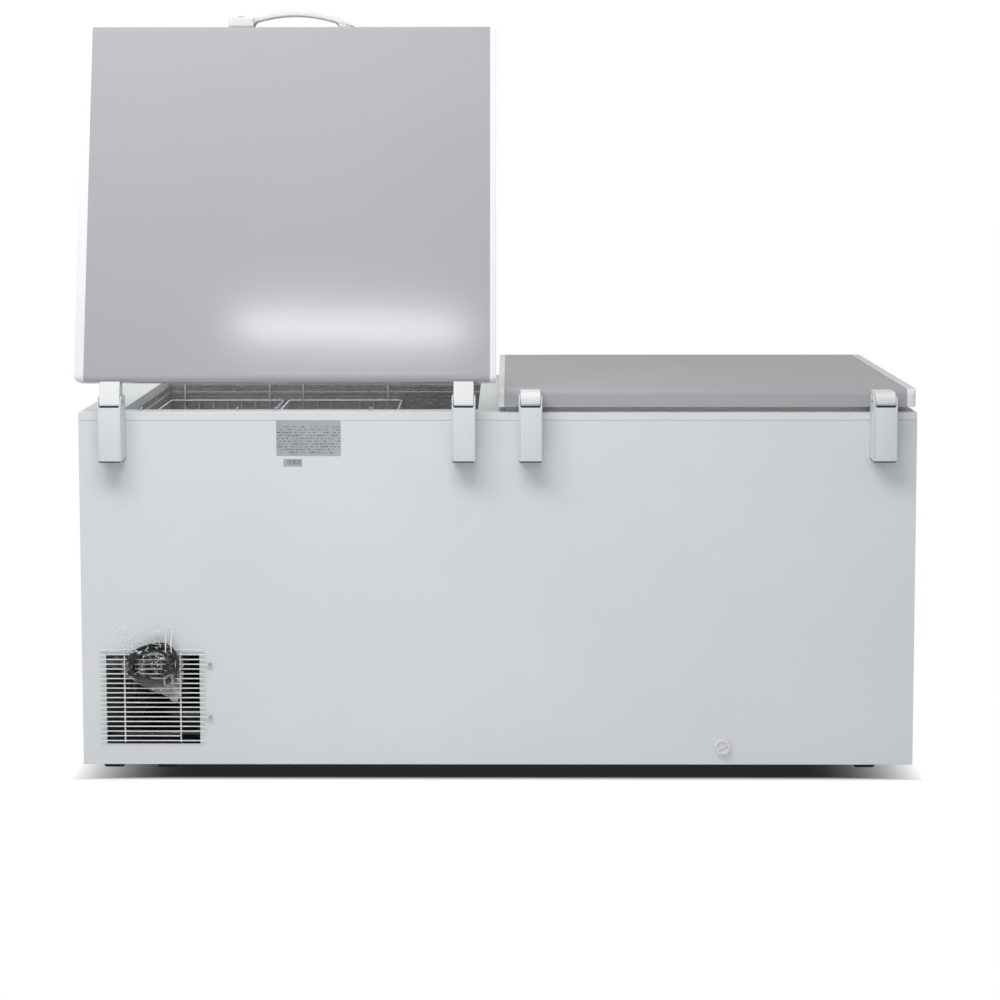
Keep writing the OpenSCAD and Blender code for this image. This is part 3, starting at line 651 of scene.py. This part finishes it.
def bag_span(z):
    """Left and right edge of the bag at a height, in metres."""
    rows = [(h * MM, a * MM, b * MM) for h, a, b in BAG_ROWS]
    for (z0, a0, b0), (z1, a1, b1) in zip(rows, rows[1:]):
        if z <= z1:
            k = ease((z - z0) / (z1 - z0))
            return a0 + (a1 - a0) * k, b0 + (b1 - b0) * k
    return rows[-1][1:]


def from_corners(p):
    """Distance in the coil's plane from the triangle of its corners, 0 inside it."""
    inside = all((p - CORNERS[i]).dot(run_out(i)) <= 0 for i in range(3))
    if inside:
        return 0.0
    best = 1.0
    for i in range(3):
        a, b = CORNERS[i], CORNERS[(i + 1) % 3]
        t = max(0.0, min(1.0, (p - a).dot(b - a) / (b - a).length_squared))
        best = min(best, (p - a.lerp(b, t)).length)
    return best


def bag_front(x, z):
    """How far the film stands in front of the grille: over the coil, over the plug, and its creases."""
    near = from_corners(Vector((x - COIL_X, z - COIL_Z)))
    film_reach, film_slope, plug_slope = 15 * MM, 14 * MM, 26 * MM
    over = ease((COIL_OUT + film_reach - near) / film_slope)
    dx = max(0.0, abs(x - (PLUG_LO.x + PLUG_HI.x) / 2) - (PLUG_HI.x - PLUG_LO.x) / 2)
    dz = max(0.0, PLUG_LO.z + PLUG_PIN - z, z - PLUG_HI.z - 8 * MM)
    plug = ease(1 - math.hypot(dx, dz) / plug_slope)
    crease = 1 - abs(noise.noise(Vector((x * 34, 0.3, z * 46)))) * 2.2
    fine = 1 - abs(noise.noise(Vector((x * 95 + 4, 1.7, z * 120)))) * 2.0
    wave = (0.9 + 1.1 * over) * max(0.0, crease) + 0.7 * max(0.0, fine)
    flat, over_coil, over_plug = 2.0, 19.5, 16.5
    return COIL_LO.y + (flat + over_coil * over + over_plug * plug + wave) * MM


def cord_bag():
    """Clear bag over the coil: a creased film in front, a flat one behind, joined round the edge."""
    bm = bmesh.new()
    across, tall, rim_cells, film = 64, 72, 4, 0.7 * MM
    z0, z1 = BAG_ROWS[0][0] * MM, BAG_ROWS[-1][0] * MM
    front, back = [], []
    for j in range(tall + 1):
        z = z0 + (z1 - z0) * j / tall
        left, right = bag_span(z)
        ragged = 1.5 * MM * noise.noise(Vector((0, 5, z * 90)))
        front_row, back_row = [], []
        for i in range(across + 1):
            x = COIL_X + left + (right - left) * i / across + ragged
            rim = min(1.0, min(i, across - i, j, tall - j) / rim_cells)
            behind = COIL_LO.y - 0.3 * MM
            ahead = behind + film + (bag_front(x, z) - behind - film) * ease(rim) ** 0.5
            front_row.append(bm.verts.new((x, ahead, z)))
            back_row.append(bm.verts.new((x, behind, z)))
        front.append(front_row)
        back.append(back_row)
    for rows, flip in ((front, False), (back, True)):
        for a, b in zip(rows, rows[1:]):
            for i in range(across):
                quad = (a[i], a[i + 1], b[i + 1], b[i])
                bm.faces.new(quad[::-1] if flip else quad)
    rim_front = front[0] + [r[-1] for r in front[1:-1]] + front[-1][::-1] + [r[0] for r in front[-2:0:-1]]
    rim_back = back[0] + [r[-1] for r in back[1:-1]] + back[-1][::-1] + [r[0] for r in back[-2:0:-1]]
    for i in range(len(rim_front)):
        j = (i + 1) % len(rim_front)
        bm.faces.new((rim_front[i], rim_front[j], rim_back[j], rim_back[i]))
    finish_mesh("cord_bag", bm, FILM, "cabinet", 80, slot="label_film")


cord_bag()


def bag_tie():
    """White wire looped round the coil's upper strands, its bend standing above the grille."""
    bm = bmesh.new()
    x, front, back = (PLUG_LO.x + PLUG_HI.x) / 2, COIL_HI.y + 4.5 * MM, COIL_LO.y + 0.5 * MM
    low, high, half = COIL_HI.z - 23 * MM, COIL_HI.z + 28 * MM, 6.5 * MM
    legs = [(front - 10 * MM, low - 4 * MM), (front - 3 * MM, low - 2 * MM), (front, low + 3 * MM),
            (front, COIL_HI.z - 6 * MM), (front - 5 * MM, COIL_HI.z + 8 * MM), (back + 8 * MM, high)]
    loop = [(x - half, y, z) for y, z in legs]
    loop += [(x - half * math.cos(a), back + 8 * MM, high + half * math.sin(a))
             for a in (math.pi * k / 8 for k in range(1, 8))]
    loop += [(x + half, y, z) for y, z in reversed(legs)]
    add_tube(bm, loop, 1.5 * MM, 10, Vector((1, 0, 0)))
    finish_mesh("bag_tie", bm, WIRE, "cabinet", 60, slot="white_wire")


bag_tie()


# ---------------------------------------------------------------- rear grille
def rear_grille():
    """Horizontal wires on two uprights; two run out to screw eyelets, and one stops at an upright."""
    lo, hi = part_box("rear_grille")
    wires, r = 20, 1.5 * MM
    z0, z1 = lo.z + 4 * MM, hi.z - 4 * MM
    y = hi.y - r
    uprights = (0.744, 0.875)
    near_end, far_end = 0.687, hi.x
    eyelet_x, eyelet_r, straight_from = lo.x + 6 * MM, 4.4 * MM, 0.70
    long_wires, short_wire = (5, 16), 1
    bm = bmesh.new()
    for i in range(wires):
        z = z0 + (z1 - z0) * i / (wires - 1)
        start = uprights[0] - 1 * MM if i == short_wire else near_end
        bow = 0.35 * MM * math.sin(i * 2.1)
        if i in long_wires:
            eye = [(eyelet_x + eyelet_r * math.cos(a), y - 0.4 * MM, z + eyelet_r * math.sin(a))
                   for a in (2 * math.pi * k / 18 for k in range(1, 18))]
            eye += [(eyelet_x + 6 * MM, y, z - 0.8 * MM), (straight_from, y, z), (far_end, y, z)]
            add_tube(bm, eye, r, 8, Vector((0, 1, 0)))
            continue
        pts = [(start, y, z), ((start + far_end) / 2, y, z + bow), (far_end, y, z)]
        add_tube(bm, pts, r, 8)
    for x in uprights:
        add_tube(bm, [(x, y - 2.5 * MM, z0 - 4 * MM), (x, y - 2.5 * MM, z1 + 4 * MM)], 1.8 * MM, 10)
    grille = finish_mesh("grille_wires", bm, WIRE, "cabinet", 60, slot="white_wire")
    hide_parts("rear_grille")


rear_grille()


# ---------------------------------------------------------------- baskets
def basket(node, body):
    """Round wires on the same grid as the basket's solids, with a thicker top rail and bent hooks."""
    lo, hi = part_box(node)
    hook_tip = hi.y
    wall_y = REAR - 80 * MM
    top = RIM_TOP - 58 * MM
    low = lo.z
    nx, ny, nz = 8, 18, 3
    r, bend = 1.9 * MM, 6 * MM
    x0, x1 = lo.x + 2 * MM, hi.x - 2 * MM
    y0, y1 = -wall_y + 2 * MM, wall_y - 2 * MM
    z0, z1 = low + 2 * MM, top - 2 * MM
    bm = bmesh.new()
    for i in range(nx + 1):
        x = x0 + (x1 - x0) * i / nx
        add_tube(bm, [(x, y0, z1), (x, y0, z0 + bend), (x, y0 + bend, z0), (x, y1 - bend, z0),
                      (x, y1, z0 + bend), (x, y1, z1)], r, 8, Vector((1, 0, 0)))
    for j in range(ny + 1):
        y = y0 + (y1 - y0) * j / ny
        over = z0 + 2 * r
        add_tube(bm, [(x0, y, z1), (x0, y, z0 + bend), (x0 + bend, y, over), (x1 - bend, y, over),
                      (x1, y, z0 + bend), (x1, y, z1)], r, 8, Vector((0, 1, 0)))
    for k in range(1, nz + 1):
        z = z0 + (z1 - z0) * k / nz
        rail = r * (1.35 if k == nz else 0.95)
        loop = [(x0 + 8 * MM, y0, z), (x1 - 8 * MM, y0, z), (x1, y0 + 8 * MM, z), (x1, y1 - 8 * MM, z),
                (x1 - 8 * MM, y1, z), (x0 + 8 * MM, y1, z), (x0, y1 - 8 * MM, z), (x0, y0 + 8 * MM, z),
                (x0 + 8 * MM, y0, z)]
        add_tube(bm, loop, rail, 8)
    for s in (-1, 1):
        for x in (x0 + (x1 - x0) / nx, x1 - (x1 - x0) / nx):
            wall = s * (wall_y - 2 * MM)
            z_over = RIM_TOP + 3 * MM
            add_tube(bm, [(x, wall, z1), (x, wall, z_over - 8 * MM), (x, wall + s * 6 * MM, z_over),
                          (x, s * (hook_tip - 2 * MM), z_over)], r * 1.15, 8, Vector((1, 0, 0)))
    piece = finish_mesh(node + "_wires", bm, BASKET, body, 60, slot="white_wire")
    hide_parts(node)


basket("inner_basket", "basket_inner")
basket("outer_basket", "basket_outer")


# ---------------------------------------------------------------- hinges
HINGE_HALF, HINGE_INNER = 27 * MM, 77 * MM
COVER_LO, COVER_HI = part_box("hinge_housings")
COVER_TOP = PIN.z - 9.5 * MM


def hinge_centres():
    """X of each hinge's middle, and the side of the lid that it carries."""
    outer = COVER_HI.x - HINGE_HALF
    return [(-outer, -1), (-HINGE_INNER, -1), (HINGE_INNER, 1), (outer, 1)]


def along_x(start):
    """Places an outline drawn in Y and Z, that runs along X from start."""
    return lambda u, v, w: Vector((start + w, u, v))


def hinge_covers():
    """Box covers on the rear panel: outer wall, foot, back plate, cheeks beside the leaf, shallow ribs."""
    low, back, face, wall = COVER_LO.z, REAR, COVER_HI.y, 3 * MM
    shell = bmesh.new()
    for x, _ in hinge_centres():
        left, right = x - HINGE_HALF, x + HINGE_HALF
        add_box(shell, (left, face - 2.2 * MM, low), (right, face, COVER_TOP), 0.9 * MM)
        add_box(shell, (left, back, low), (right, face, low + wall), 0.9 * MM)
        add_box(shell, (left + 1 * MM, back, low),
                (right - 1 * MM, back + 2 * MM, RIM_TOP - 17 * MM), 0.4 * MM)
        for side in (-1, 1):
            edge = x + side * HINGE_HALF
            x0, x1 = min(edge, edge - side * wall), max(edge, edge - side * wall)
            outline = [(back, low), (face, low), (face, COVER_HI.z - 18 * MM)]
            outline += arc(face - 14 * MM, COVER_HI.z - 14 * MM, 14 * MM, 0, 90, 8)
            outline += arc(back + 8 * MM, COVER_HI.z - 8 * MM, 8 * MM, 90, 180, 6)
            add_outline(shell, outline, along_x(x0), x1 - x0, 0.7 * MM, 2)
        for side in (-1, 1):
            rib, rib_half = x + side * (HINGE_HALF - 2.2 * MM), 1.2 * MM
            add_box(shell, (rib - rib_half, face - 1 * MM, low + 2 * MM),
                    (rib + rib_half, face + 0.5 * MM, COVER_TOP - 0.5 * MM), 0.4 * MM, 2)
    piece = finish_mesh("hinge_covers", shell, HINGE, "cabinet", 35, slot="white_plastic")
    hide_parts("hinge_housings")


def hinge_shadow_strips():
    """Dark strips of painted shadow: one in the slit where each leaf goes into its cover, and one under the
    cover's foot.
    """
    low, face = COVER_LO.z, COVER_HI.y
    shade_strips = bmesh.new()
    for x, _ in hinge_centres():
        left, right = x - HINGE_HALF, x + HINGE_HALF
        # painted shadow in the slit above each leaf
        add_box(shade_strips, (left + 5 * MM, face - 2 * MM, COVER_TOP - 2.3 * MM),
                (right - 5 * MM, face + 0.4 * MM, COVER_TOP + 1.9 * MM), 0.3 * MM, 1)
        # painted shadow under the cover's foot
        add_box(shade_strips, (left + 3 * MM, REAR, low - 1.8 * MM),
                (right - 2 * MM, face - 3 * MM, low + 0.5 * MM), 0.3 * MM, 1)
    finish_mesh("hinge_shadow_strips", shade_strips, RUBBER, "cabinet", 35, slot="black_rubber")


def hinge_caps(side, body, name):
    """Moulded leaves of one lid: a knuckle round the pin, a rounded top, and a pad screwed to the lid."""
    half, reach, r = 23 * MM, 23 * MM, 16 * MM
    y1, z1 = PIN.y + reach, LID_TOP - 0.6 * MM
    outline = [(LID_BACK, LID_LOW + 3 * MM)]
    outline += arc(PIN.y, PIN.z, reach, -130, -10, 12)
    outline += arc(y1 - r, z1 - r, r, 0, 90, 10)
    outline += [(LID_BACK, z1)]
    leaf = bmesh.new()
    for x, lid_side in hinge_centres():
        if lid_side != side:
            continue
        add_outline(leaf, outline, along_x(x - half), 2 * half, 1.2 * MM, 3)
        add_box(leaf, (x - half, LID_BACK - 0.2 * MM, LID_LOW + 2 * MM),
                (x + half, LID_BACK + 2.2 * MM, LID_TOP - 2 * MM), 0.8 * MM, 2)
    cap = finish_mesh(name + "_hinge_caps", leaf, PLASTIC, body, 35, opened(side), slot="white_plastic")
    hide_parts(name + "_hinge_leaves")


hinge_covers()
hinge_shadow_strips()
hinge_caps(-1, "left_lid", "left")
hinge_caps(1, "right_lid", "right")


# ---------------------------------------------------------------- lid handles
def handle(side, body, name):
    """Bowed bar on two feet; the wide foot holds the lock. u runs along the lid, v out from its edge."""
    centre = side * LID_MID
    reach = LID_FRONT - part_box("left_lid_handle")[0].y
    mid, half = -11 * MM, 102 * MM
    bow_end, foot_end, grip_end = mid - half, -153 * MM, -113 * MM
    lock_near, lock_far, lock_reach, lock_at = 86 * MM, 147 * MM, 28 * MM, Vector((117 * MM, 873 * MM))
    rise, lip, low, high = 17 * MM, 4 * MM, 864 * MM, 882 * MM
    grip_base, grip_rise = 12 * MM, 18 * MM

    def bow(u, base, height):
        return base + height * (1 - ((u - mid) / half) ** 2)

    def place(u, v, w):
        return Vector((centre + u, LID_FRONT - v, low + w))

    steps = 28
    shares = [i / steps for i in range(steps + 1)]
    outline = [(foot_end, 0), (foot_end + 2 * MM, lip)]
    for t in (0.25, 0.5, 0.75):
        outline.append((foot_end + (bow_end - foot_end) * t, lip + (reach - rise - lip) * t ** 0.8))
    for t in shares:
        u = bow_end + 2 * half * t
        outline.append((u, bow(u, reach - rise, rise)))
    outline += [(lock_near + 10 * MM, 0), (lock_near, 0)]
    for t in reversed(shares):
        u = grip_end + (lock_near - grip_end) * t
        outline.append((u, bow(u, grip_base, grip_rise)))
    outline += [(grip_end, 0)]
    bm = bmesh.new()
    add_outline(bm, outline, place, high - low, 3.2 * MM, 4)
    bow_piece = finish_mesh(name + "_handle_bow", bm, HANDLE, body, 40, opened(side), slot="white_plastic")
    bm = bmesh.new()
    add_box(bm, (centre + lock_near, LID_FRONT - lock_reach, low - 6 * MM),
            (centre + lock_far, LID_FRONT, high + 5 * MM), 6 * MM, 5)
    bezel = [(9.2 * MM, -29 * MM), (11.5 * MM, -28.6 * MM), (11.5 * MM, -26 * MM)]
    add_lathe(bm, bezel, (centre + lock_at.x, LID_FRONT, lock_at.y), 36)
    block = finish_mesh(name + "_lock_block", bm, HANDLE, body, 40, opened(side), slot="white_plastic")
    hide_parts(name + "_handle")
    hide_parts(name + "_handle")


handle(-1, "left_lid", "left_lid")
handle(1, "right_lid", "right_lid")


# ---------------------------------------------------------------- cavity trim
def liner_bead():
    """Stepped bead that runs round the cavity just under the rim."""
    lo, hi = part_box("inner_liner")
    wall, corner = 0.8 * MM, 18 * MM
    x0, x1, y0, y1 = lo.x + wall, hi.x - wall, lo.y + wall, hi.y - wall
    # how far the bead stands in from the wall, and how far down, in millimetres
    levels = [(0, 0), (0.5, 2), (5, 2), (5, 9), (3.4, 11), (3.4, 19), (5, 21), (5, 27), (2, 30), (2, 36),
              (0, 38)]
    bm = bmesh.new()
    rows = []
    for inset, down in levels:
        middle, z = inset * MM + corner, hi.z - 0.5 * MM - down * MM
        ring = []
        for cx, cy, a0 in ((x1, y1, 0), (x0, y1, 90), (x0, y0, 180), (x1, y0, 270)):
            sx, sy = (1 if cx == x1 else -1), (1 if cy == y1 else -1)
            for a in range(0, 91, 15):
                t = math.radians(a0 + a)
                x, y = corner * math.cos(t) - sx * middle, corner * math.sin(t) - sy * middle
                ring.append(bm.verts.new((cx + x, cy + y, z)))
        rows.append(ring)
    for a, b in zip(rows, rows[1:]):
        n = len(a)
        for k in range(n):
            m = (k + 1) % n
            bm.faces.new((a[k], a[m], b[m], b[k]))
    finish_mesh("liner_bead", bm, LINER, "cabinet", 30, slot="stucco_aluminium")


liner_bead()


def rim_joint():
    """Thin joint between the rear rim and the panel below it."""
    lo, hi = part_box("rear_rim")
    bm = bmesh.new()
    add_box(bm, (lo.x + 2 * MM, REAR - 1 * MM, lo.z - 1.2 * MM),
            (hi.x - 2 * MM, REAR + 0.4 * MM, lo.z + 0.8 * MM), 0.3 * MM, 1)
    finish_mesh("rim_joint", bm, SEAL, "cabinet", 30, slot="seal")


rim_joint()


# ---------------------------------------------------------------- floor and light
def stage():
    """Pale floor: white to the camera, with a painted shadow band under the body, and ordinary to the
    light.
    """
    mesh = bpy.data.meshes.new("floor")
    bm = bmesh.new()
    bmesh.ops.create_grid(bm, x_segments=1, y_segments=1, size=40)
    bm.to_mesh(mesh)
    bm.free()
    floor = bpy.data.objects.new("floor", mesh)
    COL.objects.link(floor)
    n = Nodes("pale_floor")
    c = n.blend(n.span(n.noise(0.8, 2.0), 0, 1), (0.80, 0.80, 0.80), (0.84, 0.84, 0.84))
    n.done(c, 0.9)
    sep = n.node("ShaderNodeSeparateXYZ")
    n.link(n.where, sep.inputs[0])
    # the painted shadow band: 0 well under the body, and 1 where the floor is white past the ends, the rear
    # or the front
    end, fade, shadow_darkest = HALF_WIDTH + 15 * MM, 0.29, 0.022
    past_end = n.math("POWER", n.span(n.math("ABSOLUTE", sep.outputs["X"]), 0.0, 1.0, end - fade, end), 3.0)
    past_rear = n.span(sep.outputs["Y"], 0.0, 1.0, REAR + 0.058, REAR + 0.092, "SMOOTHSTEP")
    past_front = n.span(sep.outputs["Y"], 1.0, 0.0, -REAR - 0.045, -REAR + 0.03, "SMOOTHSTEP")
    past_side = n.math("MAXIMUM", past_rear, past_front)
    white = n.node("ShaderNodeEmission")
    n.link(n.span(n.math("MAXIMUM", past_end, past_side), shadow_darkest, 1.0, 0.0, 1.0), white.inputs["Strength"])
    seen = n.node("ShaderNodeLightPath").outputs["Is Camera Ray"]
    mix = n.node("ShaderNodeMixShader")
    n.link(seen, mix.inputs["Fac"])
    n.link(n.bsdf.outputs[0], mix.inputs[1])
    n.link(white.outputs[0], mix.inputs[2])
    n.link(mix.outputs[0], n.tree.nodes["Material Output"].inputs["Surface"])
    mesh.materials.append(n.mat)


def area(name, at, aim_at, size, power, size_y=None, glossy=False, spread=180):
    """A rectangular lamp aimed at a point; glossy lets it show in reflections."""
    data = bpy.data.lights.new(name, "AREA")
    data.shape = "RECTANGLE"
    data.size, data.size_y = size, size_y or size
    data.energy = power
    lamp = bpy.data.objects.new(name, data)
    COL.objects.link(lamp)
    lamp.location = at
    lamp.rotation_euler = (Vector(aim_at) - Vector(at)).to_track_quat("-Z", "Y").to_euler()
    lamp.visible_glossy = glossy
    data.spread = math.radians(spread)


def studio_world(seen, light, mirrored):
    """White behind the object, a softer light on it, and a dimmer room in its reflections."""
    world = bpy.data.worlds.new("studio")
    bpy.context.scene.world = world
    world.use_nodes = True
    tree = world.node_tree
    back = tree.nodes["Background"]
    back.inputs["Color"].default_value = (0.985, 0.992, 1.0, 1.0)
    ray = tree.nodes.new("ShaderNodeLightPath")
    last = None
    for flag, low, high in (("Is Glossy Ray", light, mirrored), ("Is Camera Ray", None, seen)):
        mix = tree.nodes.new("ShaderNodeMix")
        mix.inputs[3].default_value = high
        if last:
            tree.links.new(last, mix.inputs[2])
        else:
            mix.inputs[2].default_value = low
        tree.links.new(ray.outputs[flag], mix.inputs[0])
        last = mix.outputs[0]
    tree.links.new(last, back.inputs["Strength"])


def lights():
    """Soft key from above the hinge side, a tube mirrored in the open lid, a little light in the cavity."""
    studio_world(seen=1.05, light=0.50, mirrored=0.45)
    area("key", (0.8, 2.1, 3.05), (0.2, 0.3, 0.9), 2.4, 55, 1.0)
    area("tube", (0.78, 6.0, 3.09), (0.4, 0.4, 1.0), 1.15, 11, 0.06, glossy=True)
    area("cavity_fill", (0.50, -0.25, 2.4), (0.50, -0.1, 0.85), 0.8, 2.6, 0.5, spread=65)


stage()
lights()
bpy.context.scene.view_settings.view_transform = "Standard"
